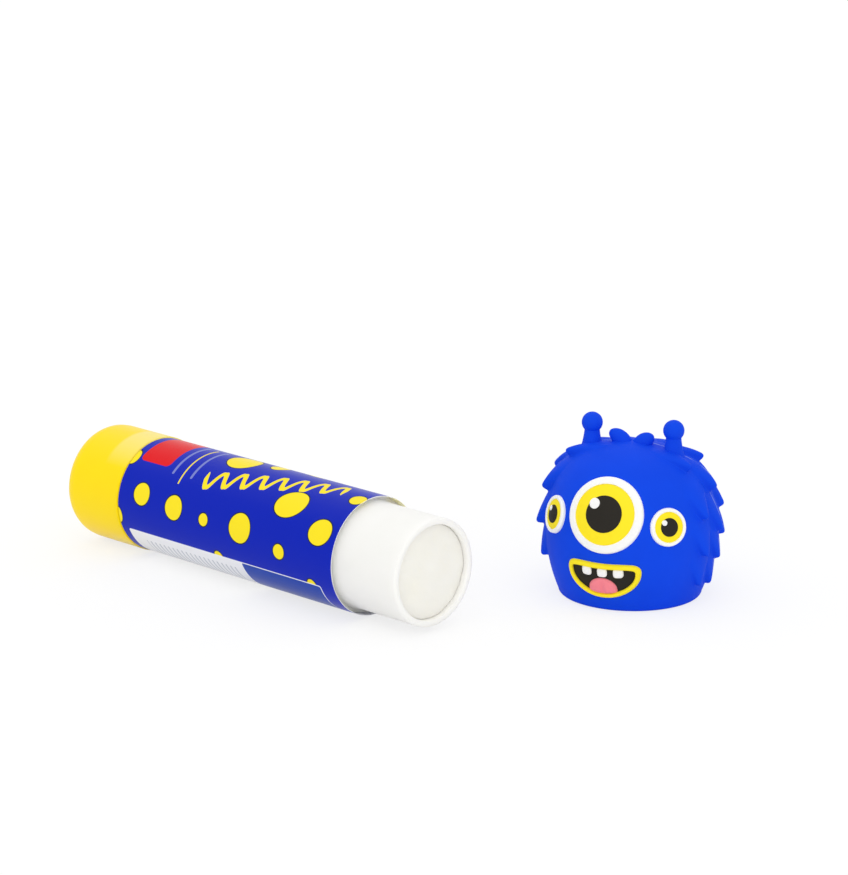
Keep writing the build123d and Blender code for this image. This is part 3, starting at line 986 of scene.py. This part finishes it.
@dataclass
class MonsterHead:
    """The soft rubber cap: skin with fur locks, crown lobes, antennae, eyes and a smiling mouth.

    Sizes are in millimetres and turns in degrees. In the head's own axes the face looks along -Y and
    the cap stands on z = 0. Each entry of `lock_columns` is a turn round the head and the heights of
    the lock tips there.
    """

    palette: Palette
    radius: float = 15.8
    height: float = 28.8
    base: float = 13.0
    base_round: float = 0.8
    cavity: float = 11.12
    cavity_depth: float = 16.7
    shoulder_fullness: float = 1.2
    lock_columns: tuple[tuple[float, tuple[float, ...]], ...] = (
        (-16, (24.4, 17.0, 10.4, 4.4)), (4, (20.6, 13.8, 8.6, 3.4)), (26, (24.2, 16.4, 11.4, 6.6, 2.6)),
        (47, (20.2, 13.6, 8.4)), (68, (24.8, 17.2, 10.8, 5.0)), (90, (21.2, 14.0, 7.2)),
        (112, (24.2, 16.8, 10.4, 4.2)), (133, (21.6, 14.2, 7.6)), (154, (24.4, 17.0, 10.6, 4.6)),
        (176, (21.4, 14.0, 7.4)), (198, (25.0, 19.2, 13.2, 7.0)),
    )
    lock_length: float = 7.0
    lock_half_width: float = 2.9
    lock_proud: float = 2.1
    lock_droop: float = 0.65
    lobe_tips: tuple[tuple[float, float], ...] = ((-4.6, 29.9), (4.2, 29.7))
    lobe_root: float = 1.1
    antenna_spread: float = 7.9
    antenna_height: float = 4.8
    ball: float = 1.95
    stem: float = 1.42
    flare: float = 1.15
    eye_height: float = 18.6
    eye_radii: tuple[float, float, float, float] = (7.0, 5.6, 3.4, 1.0)
    side_turn: float = 45.0
    side_height: float = 16.4
    side_share: float = 0.5
    seam_back: float = 1.2
    sink: float = 0.9
    mouth_height: float = 6.2
    mouth_half_width: float = 6.0
    mouth_depth: float = 5.0
    mouth_corner: float = 0.9
    lip_width: float = 0.9
    lip_proud: float = 0.75
    tooth_places: tuple[float, ...] = (-3.0, 0.0, 3.0)
    tooth_size: tuple[float, float] = (0.95, 0.9)
    tongue_size: tuple[float, float] = (2.7, 2.2)
    tongue_rise: float = 0.9

    def __post_init__(self) -> None:
        """Works out the skin's arcs, and reads the head's place and turn from its liner and antennae."""
        self.equator = self.height - self.radius
        waist = self.radius - self.base
        self.side_arc = (self.equator ** 2 + waist ** 2) / (2 * waist)
        low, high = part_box("cap_liner")
        self.middle = np.array([(low.x + high.x) / 2, (low.y + high.y) / 2, low.z]) / MM
        left, right = (sum(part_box(node), start=type(low)()) / 2 for node in ("antenna_left", "antenna_right"))
        across = right - left
        turn = math.atan2(across.y, across.x)
        self.turned = np.array([[math.cos(turn), math.sin(turn), 0], [-math.sin(turn), math.cos(turn), 0],
                                [0, 0, 1]])

    def world(self, local: np.ndarray) -> np.ndarray:
        """Places in the head's own millimetres as places in metres."""
        return (local @ self.turned + self.middle) * MM

    def skin_radius(self, height: np.ndarray) -> np.ndarray:
        """The smooth skin's radius: a hemisphere above the equator, a gentle arc below it.

        Args:
            height: heights above the base.

        Returns:
            The radius at each height.
        """
        rise = np.clip(height, 0, self.height) - self.equator
        dome = np.sqrt(np.maximum(self.radius ** 2 - rise ** 2, 0))
        skirt = self.radius - self.side_arc + np.sqrt(self.side_arc ** 2 - np.minimum(rise, 0) ** 2)
        return np.where(rise > 0, dome, skirt)

    def spot(self, azimuth: float, height: float) -> Spot:
        """The plane that touches the skin at one place.

        Args:
            azimuth: the place's turn from +X in degrees.
            height: its height above the base.

        Returns:
            The plane.
        """
        rise = height - self.equator
        tilt = math.asin(rise / (self.radius if rise > 0 else self.side_arc))
        out = np.array([math.cos(math.radians(azimuth)), math.sin(math.radians(azimuth)), 0])
        right = np.array([-out[1], out[0], 0])
        normal = out * math.cos(tilt) + np.array([0, 0, math.sin(tilt)])
        origin = out * float(self.skin_radius(np.array(height))) + np.array([0, 0, height])
        return Spot(origin, right, np.cross(normal, right), normal)

    def settle(self, spot: Spot, across: np.ndarray, up: np.ndarray, lift: np.ndarray) -> np.ndarray:
        """Carries a flat drawing onto the skin along the plane's normal, and lifts it by `lift`.

        The depth at which each place meets the skin is found by halving an interval: the distance
        from the head's axis less the skin's radius there changes sign at the skin.

        Args:
            spot: the drawing's plane.
            across: places to the right of its origin.
            up: places above its origin.
            lift: how far each place then stands off the skin.

        Returns:
            The places in the head's own millimetres.
        """
        start = spot.origin + across[..., None] * spot.right + up[..., None] * spot.up
        before, behind = 3.0, -9.0
        near, far = np.full(across.shape, before), np.full(across.shape, behind)
        for _ in range(32):
            middle = (near + far) / 2
            place = start + middle[..., None] * spot.normal
            outside = np.hypot(place[..., 0], place[..., 1]) > self.skin_radius(place[..., 2])
            near, far = np.where(outside, middle, near), np.where(outside, far, middle)
        return start + (near + lift)[..., None] * spot.normal

    def locks(self, azimuth: np.ndarray, arc_length: np.ndarray, reach: np.ndarray,
              tip_arc: Callable[[float], float]) -> np.ndarray:
        """How far the fur stands out: the highest of many leaf-shaped locks, each thickest at its tip.

        A lock widens from a blunt tip with a power of the distance above it, thins evenly to nothing
        at its root, and is domed across.

        Args:
            azimuth: angles on the skin in radians.
            arc_length: distance up the skin from its base.
            reach: the skin's radius at each place.
            tip_arc: turns a tip's height into its distance up the skin.

        Returns:
            The height of the fur above the skin.
        """
        blunt, widening, rounding, least, full_height = 0.4, 4.4, 1.3, 0.45, 20
        fur = np.zeros_like(arc_length)
        crowd = least + (1 - least) * reach / self.radius
        for turn, tips in self.lock_columns:
            aside = (azimuth - math.radians(turn) + np.pi) % (2 * np.pi) - np.pi
            for tip in tips:
                above = arc_length - tip_arc(tip)
                spread = np.clip((above + blunt) / widening, 1e-4, 1) ** 0.8
                half = self.lock_half_width * crowd * spread
                dome = np.clip(1 - (aside * reach / half) ** 2, 0, 1) ** 0.8
                blunted = np.sqrt(np.clip((above + blunt) / rounding, 0, 1))
                thin = np.clip(1 - above / self.lock_length, 0, 1) ** 1.1 * blunted
                small = min(1.0, least + tip / full_height)
                fur = np.maximum(fur, small * self.lock_proud * dome * thin)
        for _ in range(2):
            fur = (2 * fur + np.roll(fur, 1, 1) + np.roll(fur, -1, 1)) / 4
            fur[1:-1] = (2 * fur[1:-1] + fur[2:] + fur[:-2]) / 4
        return fur

    def skin(self) -> Grid:
        """The head's skin, turned from its meridian and displaced by the fur, with the liner's cavity.

        Besides the fur, the head is fuller at its two shoulders: by the square of the azimuth's cosine
        times the fourth power of the sine of twice the elevation.

        Returns:
            The skin's places and faces.
        """
        columns = 480
        climb = np.radians(np.linspace(90, 0, 112))
        dome = np.column_stack([self.radius * np.cos(climb), self.equator + self.radius * np.sin(climb)])
        heights = np.linspace(self.equator, self.base_round, 60)[1:]
        skirt = np.column_stack([self.skin_radius(heights), heights])
        bend = np.radians(np.linspace(0, 90, 7))[1:]
        foot = np.column_stack([skirt[-1, 0] - self.base_round * (1 - np.cos(bend)),
                                self.base_round * (1 - np.sin(bend))])
        outer = np.vstack([dome, skirt, foot])
        inner = np.array([[self.cavity, 0], [self.cavity, self.cavity_depth], [0, self.cavity_depth]])
        step = np.hypot(*np.diff(outer, axis=0).T)
        arc_length = (step.sum() - np.concatenate([[0], np.cumsum(step)]))[:, None]
        azimuth = np.linspace(0, 2 * np.pi, columns, endpoint=False)[None, :]

        def tip_arc(tip: float) -> float:
            """Distance up the skin from its base at a height."""
            return float(np.interp(tip, outer[::-1, 1], arc_length[::-1, 0]))

        reach = outer[:, :1] + 0 * azimuth
        fur = self.locks(azimuth + 0 * reach, arc_length + 0 * azimuth, np.maximum(reach, 0.5), tip_arc)
        slope = np.gradient(outer, axis=0)
        slope /= np.hypot(*slope.T)[:, None]
        normal_out, normal_up = -slope[:, 1:], slope[:, :1]
        elevation = np.clip((outer[:, 1:] - self.equator) / self.radius, 0, 1)
        full = self.shoulder_fullness * np.cos(azimuth) ** 2 * np.sin(2 * np.arcsin(elevation)) ** 4
        stand = fur + full
        out = reach + stand * normal_out + self.lock_droop * fur * slope[:, :1]
        up = outer[:, 1:] + stand * normal_up + self.lock_droop * fur * slope[:, 1:]
        out = np.vstack([out, inner[:, :1] + 0 * azimuth])
        up = np.maximum(np.vstack([up, inner[:, 1:] + 0 * azimuth]), 0)
        local = np.stack([out * np.cos(azimuth), out * np.sin(azimuth), up], axis=-1)
        return self.world(local), grid_faces(len(out), columns, False, True)

    def lobe(self, tip_x: float, tip_z: float) -> Grid:
        """A crown lobe: an oval section carried up a bending path, full at the root and blunt at the tip.
        A first row without girth closes the root.

        Args:
            tip_x: where its tip leans to.
            tip_z: the tip's height.

        Returns:
            The lobe's places and faces.
        """
        root_height, half_width, half_depth, bluntness = 26.4, 1.75, 1.25, 3.2
        t = np.linspace(0, 1, 40)[:, None]
        turn = np.linspace(0, 2 * np.pi, 48, endpoint=False)[None, :]
        lean = math.copysign(self.lobe_root, tip_x)
        bends = ((lean, root_height), (lean * 1.5, tip_z - 0.4), (tip_x, tip_z))
        root, elbow, tip = (np.array(place) for place in bends)
        path = (1 - t) ** 2 * root + 2 * t * (1 - t) * elbow + t ** 2 * tip
        heading = np.gradient(path, axis=0)
        heading /= np.hypot(*heading.T)[:, None]
        girth = np.vstack([[[0.0]], np.sqrt(np.clip(1 - t ** bluntness, 0, 1))])
        path, heading = (np.vstack([rows[:1], rows]) for rows in (path, heading))
        wide, thick = half_width * girth, half_depth * girth
        x = path[:, :1] + wide * np.cos(turn) * heading[:, 1:]
        z = path[:, 1:] - wide * np.cos(turn) * heading[:, :1]
        local = np.stack([x, thick * np.sin(turn) + 0 * x, z], axis=-1)
        return self.world(local), grid_faces(len(path), turn.shape[1], False, True)

    def antenna(self, side: int) -> Grid:
        """A ball on a stem: the stem's radius falls with a power of its height from a flared foot.

        Args:
            side: -1 for the left one, 1 for the right one.

        Returns:
            The antenna's places and faces.
        """
        buried, columns = 1.8, 64
        skin = self.equator + math.sqrt(self.radius ** 2 - self.antenna_spread ** 2)
        centre = skin + self.antenna_height
        neck = math.degrees(math.acos(self.stem / self.ball))
        t = np.linspace(0, 1, 28)
        foot = skin - buried
        stem = np.column_stack([self.stem + self.flare * (1 - t) ** 1.4,
                                foot + (centre - self.ball * math.sin(math.radians(neck)) - foot) * t])
        climb = arc(-neck, 90, 40)[1:]
        ball = np.column_stack([self.ball * np.cos(climb), centre + self.ball * np.sin(climb)])
        outline = np.vstack([[[0, foot]], stem, ball])
        turn = np.linspace(0, 2 * np.pi, columns, endpoint=False)[None, :]
        local = np.stack([side * self.antenna_spread + outline[:, :1] * np.cos(turn),
                          outline[:, :1] * np.sin(turn), outline[:, 1:] + 0 * turn], axis=-1)
        return self.world(local), grid_faces(len(outline), columns, False, True)

    def ring(self, spot: Spot, outline: np.ndarray, closed: bool, columns: int = 144,
             centre: tuple[float, float] = (0.0, 0.0)) -> Grid:
        """An outline of (radius, lift) turned about a spot's normal and settled on the skin.

        Args:
            spot: the plane it is drawn on.
            outline: (radius, lift) points.
            closed: whether the outline closes on itself.
            columns: how many steps go round.
            centre: where on the plane its middle lies.

        Returns:
            The places and faces.
        """
        turn = np.linspace(0, 2 * np.pi, columns, endpoint=False)[None, :]
        across = centre[0] + outline[:, :1] * np.cos(turn)
        up = centre[1] + outline[:, :1] * np.sin(turn)
        local = self.settle(spot, across, up, outline[:, 1:] + 0 * across)
        return self.world(local), grid_faces(len(outline), columns, closed, True)

    def disc_outline(self, radius: float, lift: float, crown: float, edge: float) -> np.ndarray:
        """A crowned disc: its front rises by `crown` to the middle as the square of the distance.

        Args:
            radius: the disc's radius.
            lift: how far its edge stands off the skin.
            crown: how much further its middle does.
            edge: how far its edge is rounded.

        Returns:
            The disc's (radius, lift) points, from behind its middle to in front of it.
        """
        steps = np.linspace(1, 0, 12)[:, None]
        rim = soft_outline([(0, -self.sink, 0), (radius, -self.sink, 0), (radius, lift, edge),
                            (radius - 2 * edge, lift, 0)], closed=False)
        front = np.hstack([steps * (radius - 2 * edge), lift + crown * (1 - steps ** 2)])
        return np.vstack([rim[:-1], front])

    def eye(self, name: str, turn: float, height: float, share: float) -> list[Part]:
        """One eye: a raised white ring, a crowned iris and pupil, and a round glint.

        Args:
            name: the eye's name.
            turn: its turn from the middle of the face in degrees.
            height: its height above the base.
            share: its size against the middle eye's.

        Returns:
            Its four pieces.
        """
        spot = self.spot(-90 + turn, height)
        white, iris, pupil, glint = (radius * share for radius in self.eye_radii)
        proud = 0.55 + 0.3 * share
        ring = soft_outline([(iris - 0.1, -self.sink, 0), (white, -self.sink, 0), (white, proud, 0.5),
                             (iris, proud - 0.05, 0.22), (iris - 0.05, 0.1, 0)])
        shapes = {
            "white": (ring, True, (0, 0), Moulded.WHITE_RUBBER),
            "iris": (self.disc_outline(iris, proud - 0.28, 0.12, 0.1), False, (0, 0), Moulded.YELLOW_RUBBER),
            "pupil": (self.disc_outline(pupil, proud - 0.1, 0.08, 0.12), False, (0, 0), Moulded.BLACK_RUBBER),
            "glint": (self.disc_outline(glint, proud + 0.02, 0.05, 0.1), False,
                      (-0.56 * pupil, 0.52 * pupil), Moulded.WHITE_RUBBER),
        }
        slots = {"white": "white_rubber", "iris": "yellow_rubber", "pupil": "black_rubber",
                 "glint": "white_rubber"}
        parts = []
        for layer, (outline, closed, centre, finish) in shapes.items():
            points, faces = self.ring(spot, outline, closed, centre=centre)
            parts.append(Part(f"inlay_{layer}_{name}", points, faces, "cap", slots[layer],
                              (f"eye_{layer}_{name}",), self.palette.of(finish)))
        return parts

    def smile(self, count: int = 240) -> tuple[np.ndarray, np.ndarray]:
        """The mouth's outline and its outward normals: half an ellipse below, and above it a low
        fourth-power arch, whose corners are round and whose top is nearly straight.

        Args:
            count: how many evenly spaced points the outline gets.

        Returns:
            The outline's points and its normals.
        """
        t = np.linspace(0, 2 * np.pi, 4001)
        low = self.mouth_depth - self.mouth_corner
        above = np.sin(t) > 0
        power = np.where(above, 0.5, 1.0)
        x = self.mouth_half_width * np.sign(np.cos(t)) * np.abs(np.cos(t)) ** power
        y = np.where(above, self.mouth_corner * np.abs(np.sin(t)) ** 0.5, low * np.sin(t)) - self.mouth_corner
        run = np.concatenate([[0], np.cumsum(np.hypot(np.diff(x), np.diff(y)))])
        even = np.linspace(0, run[-1], count, endpoint=False)
        line = np.column_stack([np.interp(even, run, x), np.interp(even, run, y)])
        heading = np.roll(line, -1, 0) - np.roll(line, 1, 0)
        heading /= np.hypot(*heading.T)[:, None]
        return line, np.column_stack([heading[:, 1], -heading[:, 0]])

    def cushion(self, spot: Spot, line: np.ndarray, centre: np.ndarray, edge: float, crown: float,
                groove: float = 0.0) -> Grid:
        """A closed pad inside an outline: its front is domed from the edge's lift to the crown's, as the
        root of one less the cube of the distance out, with a groove down its middle if asked.

        Args:
            spot: the plane it is drawn on.
            line: its outline.
            centre: the place that its rows run out from.
            edge: how far its edge stands off the skin.
            crown: how much further its middle does.
            groove: the groove's depth.

        Returns:
            The pad's places and faces.
        """
        groove_width = 0.4
        out = np.linspace(0, 1, 16)[:, None]
        share = np.vstack([out, out[::-1]])
        front = edge + crown * np.sqrt(np.clip(1 - out[::-1] ** 3, 0, 1))
        lift = np.vstack([0 * out - self.sink, front])
        across = centre[0] + share * (line[:, 0] - centre[0])[None, :]
        up = centre[1] + share * (line[:, 1] - centre[1])[None, :] + self.mouth_depth / 2
        dip = groove * np.exp(-((across - centre[0]) / groove_width) ** 2) * (1 - share ** 2)
        lift = np.where(lift > 0, lift - dip, lift + 0 * across)
        return self.world(self.settle(spot, across, up, lift)), grid_faces(len(share), len(line), False, True)

    def lip(self, spot: Spot, line: np.ndarray, outward: np.ndarray, columns: int = 20) -> Grid:
        """A round bead carried round the mouth's outline: it stands out by a sine and is as wide as a
        cosine.

        Args:
            spot: the mouth's plane.
            line: the mouth's outline.
            outward: the outline's normals.
            columns: how many steps go round the bead.

        Returns:
            The lip's places and faces.
        """
        turn = np.linspace(0, 2 * np.pi, columns, endpoint=False)[None, :]
        bead = self.lip_width / 2 * (1 + 1.1 * np.cos(turn))
        across = line[:, :1] + outward[:, :1] * bead
        up = line[:, 1:] + outward[:, 1:] * bead + self.mouth_depth / 2
        lift = self.lip_proud * np.sin(turn) + 0 * across
        return self.world(self.settle(spot, across, up, lift)), grid_faces(len(line), columns, True, True)

    def teeth(self, spot: Spot, around: np.ndarray) -> Grid:
        """The upper teeth: pads whose outlines are ovals squared off by powers of the cosine and sine.

        Args:
            spot: the mouth's plane.
            around: angles round each tooth.

        Returns:
            All the teeth's places and faces.
        """
        drop = -0.75
        c, s = np.cos(around), np.sin(around)
        wide, tall = self.tooth_size
        pad = np.column_stack([wide * np.sign(c) * np.abs(c) ** 0.6, tall * np.sign(s) * np.abs(s) ** 0.65])
        middles = [np.array([x, drop]) for x in self.tooth_places]
        return joined([self.cushion(spot, pad + middle, middle, 0.2, 0.35) for middle in middles])

    def tongue(self, spot: Spot, around: np.ndarray) -> Grid:
        """The tongue: an oval pad cut off where it would pass the mouth's lower outline.

        The cut is where a ray from the tongue's middle meets the half ellipse, which a quadratic gives.

        Args:
            spot: the mouth's plane.
            around: angles round the tongue.

        Returns:
            The tongue's places and faces.
        """
        inside_lip = 0.05
        c, s = np.cos(around), np.sin(around)
        low = self.mouth_depth - self.mouth_corner
        drop = self.tongue_rise - self.mouth_depth + self.mouth_corner
        square = (c / self.mouth_half_width) ** 2 + (s / low) ** 2
        slant = drop * s / low ** 2
        to_lip = (-slant + np.sqrt(slant ** 2 - square * ((drop / low) ** 2 - 1))) / square
        to_edge = 1 / np.hypot(c / self.tongue_size[0], s / self.tongue_size[1])
        reach = np.minimum(to_edge, to_lip - inside_lip)
        middle = np.array([0.0, self.tongue_rise - self.mouth_depth])
        edge = middle + np.column_stack([c * reach, s * reach])
        return self.cushion(spot, edge, middle, 0.15, 0.7, groove=0.28)

    def mouth(self) -> list[Part]:
        """The lip round the mouth, its dark lining, three upper teeth and a tongue.

        Returns:
            The four pieces.
        """
        spot = self.spot(-90, self.mouth_height)
        line, outward = self.smile()
        around = np.linspace(0, 2 * np.pi, 72, endpoint=False)
        lining_middle = np.array([0.0, -2.0])
        made = (
            ("inlay_lip", self.lip(spot, line, outward), "yellow_rubber", "mouth_lip",
             Moulded.YELLOW_RUBBER),
            ("inlay_lining", self.cushion(spot, line, lining_middle, 0.12, 0.02), "black_rubber",
             "mouth_lining", Moulded.BLACK_RUBBER),
            ("inlay_teeth", self.teeth(spot, around), "white_rubber", "teeth", Moulded.WHITE_RUBBER),
            ("inlay_tongue", self.tongue(spot, around), "pink_rubber", "tongue", Moulded.PINK_RUBBER),
        )
        return [Part(name, *grid, "cap", slot, (node,), self.palette.of(finish))
                for name, grid, slot, node, finish in made]

    def seam(self, tree: bpy.types.NodeTree, colour: bpy.types.NodeSocket) -> bpy.types.NodeSocket:
        """The mould's parting line: a thin pale broken line in the plane between the front and the back.

        Args:
            tree: the head's node tree.
            colour: the plain colour's socket.

        Returns:
            The colour with the line over it.
        """
        core, fade, wear, most, pale = 0.07 * MM, 0.2 * MM, 2.5 * MM, 0.7, linear("A9BCEF")
        back = self.turned[1]
        place = add(tree, "ShaderNodeTexCoord").outputs["Object"]
        depth = add(tree, "ShaderNodeVectorMath", {0: place, 1: tuple(back)}, operation="DOT_PRODUCT")
        off = add(tree, "ShaderNodeMath", {0: depth.outputs["Value"],
                                           1: (float(back @ self.middle) + self.seam_back) * MM},
                  operation="SUBTRACT")
        apart = add(tree, "ShaderNodeMath", {0: off.outputs[0]}, operation="ABSOLUTE")
        line = add(tree, "ShaderNodeMapRange", {"Value": apart.outputs[0], "From Min": core,
                                                "From Max": fade, "To Min": 1.0, "To Max": 0.0})
        worn = add(tree, "ShaderNodeTexNoise", {"Vector": place, "Scale": 1 / wear})
        cover = add(tree, "ShaderNodeMapRange", {"Value": worn.outputs["Fac"], "From Min": 0.4,
                                                 "From Max": 0.6, "To Max": most})
        share = add(tree, "ShaderNodeMath", {0: line.outputs[0], 1: cover.outputs[0]}, operation="MULTIPLY")
        return add(tree, "ShaderNodeMix", {0: share.outputs[0], 6: colour, 7: pale},
                   data_type="RGBA").outputs[2]

    def parts(self) -> list[Part]:
        """Works out every piece of the head.

        Returns:
            The pieces.
        """
        blue = self.palette.of(Moulded.BLUE_RUBBER)
        seamed = Moulded.BLUE_RUBBER.value.material(self.seam)
        lobes = [self.lobe(*tip) for tip in self.lobe_tips]
        parts = [Part("head_rubber", *joined([self.skin(), *lobes]), "cap", "blue_rubber",
                      ("head_shell",), seamed)]
        parts += [Part(f"feeler_{name}", *self.antenna(side), "cap", "blue_rubber",
                       (f"antenna_{name}",), blue) for name, side in (("left", -1), ("right", 1))]
        parts += self.eye("centre", 0, self.eye_height, 1)
        parts += self.eye("left", -self.side_turn, self.side_height, self.side_share)
        parts += self.eye("right", self.side_turn, self.side_height, self.side_share)
        return parts + self.mouth()


def dress_node(node: str, material: bpy.types.Material) -> None:
    """Gives a CAD node's own slots a better material.

    Args:
        node: the node's name.
        material: its new material.
    """
    for place in range(len(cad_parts[node].data.materials)):
        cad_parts[node].data.materials[place] = material
    LOG.info("%s: CAD shape, %s", node, material.name)


# ---------------------------------------------------------------- stage


def seen_rays(tree: bpy.types.NodeTree) -> bpy.types.NodeSocket:
    """One for rays that the camera sees, be it plainly, mirrored or through a clear piece, else nought.

    Args:
        tree: the node tree that takes the nodes.

    Returns:
        The socket.
    """
    path = add(tree, "ShaderNodeLightPath")
    seen = path.outputs["Is Camera Ray"]
    for kind in ("Is Glossy Ray", "Is Transmission Ray"):
        seen = add(tree, "ShaderNodeMath", {0: seen, 1: path.outputs[kind]}, operation="MAXIMUM").outputs[0]
    return seen


@dataclass
class Studio:
    """A pale floor, an even white surround, two broad soft lamps, and the camera.

    Attributes:
        axes: where the stick lies.
        along: the camera's place along the stick from the sleeve's neck-side edge, in millimetres.
        across: its place to the stick's side.
        height: its height above the floor.
        heading: its turn about the upright, in degrees.
        dip: how far it looks down, in degrees.
        lens: its focal length on a sensor 36 mm wide.
        surround: the surround's strength as light on the object.
        top_light: the upper lamp's strength.
        front_light: the front lamp's strength.
        floor_lift: how far the floor is plain white where it is seen.
    """

    axes: StickAxes
    along: float = 368.3
    across: float = -363.8
    height: float = 169.2
    heading: float = 44.37
    dip: float = 14.72
    lens: float = 123.43
    surround: float = 0.84
    top_light: float = 0.4
    front_light: float = 0.45
    floor_lift: float = 0.74

    def camera(self) -> None:
        """The view: it stands to the neck's right and looks down a little at both pieces."""
        camera = bpy.data.objects.new("camera", bpy.data.cameras.new("camera"))
        camera.data.lens, camera.data.sensor_width = self.lens, 36.0
        place = self.axes.edge + self.along, self.axes.y + self.across, self.height
        camera.location = [distance * MM for distance in place]
        camera.rotation_euler = [math.radians(turn) for turn in (90 - self.dip, 0, self.heading)]
        bpy.context.scene.collection.objects.link(camera)
        bpy.context.scene.camera = camera

    def lamps(self) -> None:
        """A broad soft light from above and a fainter one from the front. Both are far away, so the
        whole table is lit evenly."""
        for name, source, strength, spread in (("lamp_top", (-0.2, 0.1, 1.0), self.top_light, 90),
                                               ("lamp_front", (0.8, -0.8, 0.6), self.front_light, 70)):
            lamp = bpy.data.objects.new(name, bpy.data.lights.new(name, "SUN"))
            lamp.data.energy, lamp.data.angle = strength, math.radians(spread)
            lamp.rotation_euler = Vector(source).to_track_quat("Z", "Y").to_euler()
            bpy.context.scene.collection.objects.link(lamp)

    def surround_light(self) -> None:
        """White behind everything seen, mirrored or seen through; dimmer as light on the object."""
        world = bpy.data.worlds.new("surround")
        world.use_nodes = True
        tree = world.node_tree
        tree.nodes.clear()
        strength = add(tree, "ShaderNodeMapRange", {"Value": seen_rays(tree), "To Min": self.surround,
                                                    "To Max": 1.0})
        shade = add(tree, "ShaderNodeBackground", {"Color": (1, 1, 1, 1), "Strength": strength.outputs[0]})
        out = add(tree, "ShaderNodeOutputWorld", {"Surface": shade.outputs[0]})
        out.is_active_output = True
        bpy.context.scene.world = world

    def floor(self) -> None:
        """A matt white laminate table top, which takes soft shadows. Where it is seen it is part plain
        white, so they stay faint."""
        material, tree, out = new_tree("table_laminate_white")
        share = add(tree, "ShaderNodeMath", {0: seen_rays(tree), 1: self.floor_lift}, operation="MULTIPLY")
        matt = add(tree, "ShaderNodeBsdfDiffuse", {"Color": linear("FAFAFA")})
        white = add(tree, "ShaderNodeEmission", {"Strength": 1.02})
        top = add(tree, "ShaderNodeMixShader", {0: share.outputs[0], 1: matt.outputs[0], 2: white.outputs[0]})
        tree.links.new(top.outputs[0], out.inputs["Surface"])
        half = 3.0
        points = np.array([[-half, -half, 0], [half, -half, 0], [half, half, 0], [-half, half, 0]])
        mesh = bpy.data.meshes.new("floor")
        mesh.from_pydata(points.tolist(), [], [[0, 1, 2, 3]])
        mesh.materials.append(material)
        floor = bpy.data.objects.new("floor", mesh)
        bpy.context.scene.collection.objects.link(floor)

    def build(self) -> None:
        """Sets the whole stage and the plain view transform."""
        self.camera()
        self.lamps()
        self.surround_light()
        self.floor()
        bpy.context.scene.view_settings.view_transform = "Standard"


def main() -> None:
    """Builds the stick, the head and the stage."""
    logging.basicConfig(level=logging.INFO, format="%(message)s")
    palette, axes = Palette(), StickAxes.from_frame()
    stick = Stick(axes, palette)
    for part in (stick.build_barrel(), stick.build_knob(), stick.build_glue()):
        part.build()
    stick.build_sleeve()
    stick.dress_hidden()
    dress_node("cap_liner", palette.of(Moulded.WHITE_PP))
    for part in MonsterHead(palette).parts():
        part.build()
    Studio(axes).build()


if __name__ == "__main__":
    main()
